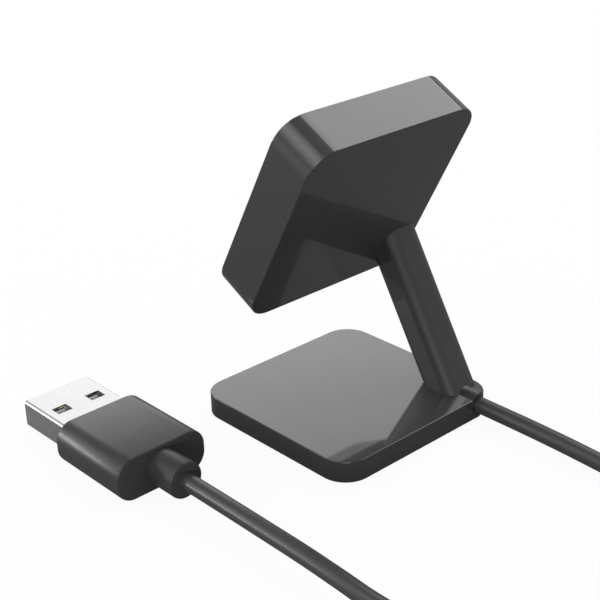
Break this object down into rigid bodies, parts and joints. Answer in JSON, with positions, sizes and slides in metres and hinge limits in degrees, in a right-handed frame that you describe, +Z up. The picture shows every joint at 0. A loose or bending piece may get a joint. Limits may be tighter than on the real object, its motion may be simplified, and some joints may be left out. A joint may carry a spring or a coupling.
{
  "type": "smartwatch charging dock",
  "caption": "Low square base with a slanted side arm, a leaning square charging head with spring contacts, and a thin lead that ends in a flat metal plug.",
  "frame": {"origin": "on the ground under the middle of the square base", "axes": "+Z up, the watch side faces -Y, +Y to the back where the lead leaves, +X to the right seen from the front"},
  "size_m": [0.0603, 0.1383, 0.0543],
  "materials": {
    "housing": "smooth charcoal moulding, soft gloss",
    "arm_plastic": "smooth charcoal moulding, soft gloss",
    "cover_plastic": "smooth black moulding",
    "inner_plastic": "fine matte moulding",
    "contact_plastic": "fine matte moulding",
    "pad_rubber": "matte silicone foam",
    "soft_rubber": "matte soft sleeve",
    "cable": "smooth satin jacket",
    "grip_plastic": "satin moulding",
    "plug_metal": "bright nickel-plated sheet",
    "insulator": "black moulding",
    "gold": "gold plating",
    "barrel_gold": "gold plating",
    "spring_steel": "drawn wire",
    "screw_steel": "zinc-plated",
    "zinc_steel": "zinc-plated sheet",
    "magnet": "nickel-plated magnet",
    "board": "green solder mask",
    "board_parts": "black moulded chips",
    "connector_plastic": "ivory moulding",
    "inner_wires": "thin insulated wires"
  },
  "bodies": {
    "dock": {"base_shell": "housing", "base_plate": "inner_plastic", "base_pad": "pad_rubber", "base_weight": "zinc_steel", "base_screws": "screw_steel", "arm": "arm_plastic", "arm_foot_clamp": "zinc_steel", "arm_foot_screw": "screw_steel", "arm_head_clamp": "zinc_steel", "arm_head_screw": "screw_steel", "head_shell": "housing", "front_cover": "cover_plastic", "contact_block": "contact_plastic", "contact_barrel_1": "barrel_gold", "contact_barrel_2": "barrel_gold", "contact_barrel_3": "barrel_gold", "contact_barrel_4": "barrel_gold", "contact_spring_1": "spring_steel", "contact_spring_2": "spring_steel", "contact_spring_3": "spring_steel", "contact_spring_4": "spring_steel", "magnet_1": "magnet", "magnet_2": "magnet", "magnet_3": "magnet", "magnet_4": "magnet", "circuit_board": "board", "board_parts": "board_parts", "board_screws": "screw_steel", "lead_connector": "connector_plastic", "inner_lead": "inner_wires", "strain_relief": "soft_rubber", "cord_base": "cable", "cord_coil": "cable", "cord_plug": "cable", "plug_grip": "grip_plastic", "plug_shell": "plug_metal", "plug_insulator": "insulator", "plug_blades": "gold"},
    "plunger_1": {"contact_plunger_1": "gold"},
    "plunger_2": {"contact_plunger_2": "gold"},
    "plunger_3": {"contact_plunger_3": "gold"},
    "plunger_4": {"contact_plunger_4": "gold"}
  },
  "joints": [
    {"name": "plunger_1_press", "type": "slide", "parent": "dock", "child": "plunger_1", "axis": [0, 0.8788, -0.4772], "range_m": [0, 0.0008], "stiffness_N_per_m": 300, "springref_m": -0.0006, "deforming": ["contact_spring_1"]},
    {"name": "plunger_2_press", "type": "slide", "parent": "dock", "child": "plunger_2", "axis": [0, 0.8788, -0.4772], "range_m": [0, 0.0008], "stiffness_N_per_m": 300, "springref_m": -0.0006, "deforming": ["contact_spring_2"]},
    {"name": "plunger_3_press", "type": "slide", "parent": "dock", "child": "plunger_3", "axis": [0, 0.8788, -0.4772], "range_m": [0, 0.0008], "stiffness_N_per_m": 300, "springref_m": -0.0006, "deforming": ["contact_spring_3"]},
    {"name": "plunger_4_press", "type": "slide", "parent": "dock", "child": "plunger_4", "axis": [0, 0.8788, -0.4772], "range_m": [0, 0.0008], "stiffness_N_per_m": 300, "springref_m": -0.0006, "deforming": ["contact_spring_4"]}
  ]
}
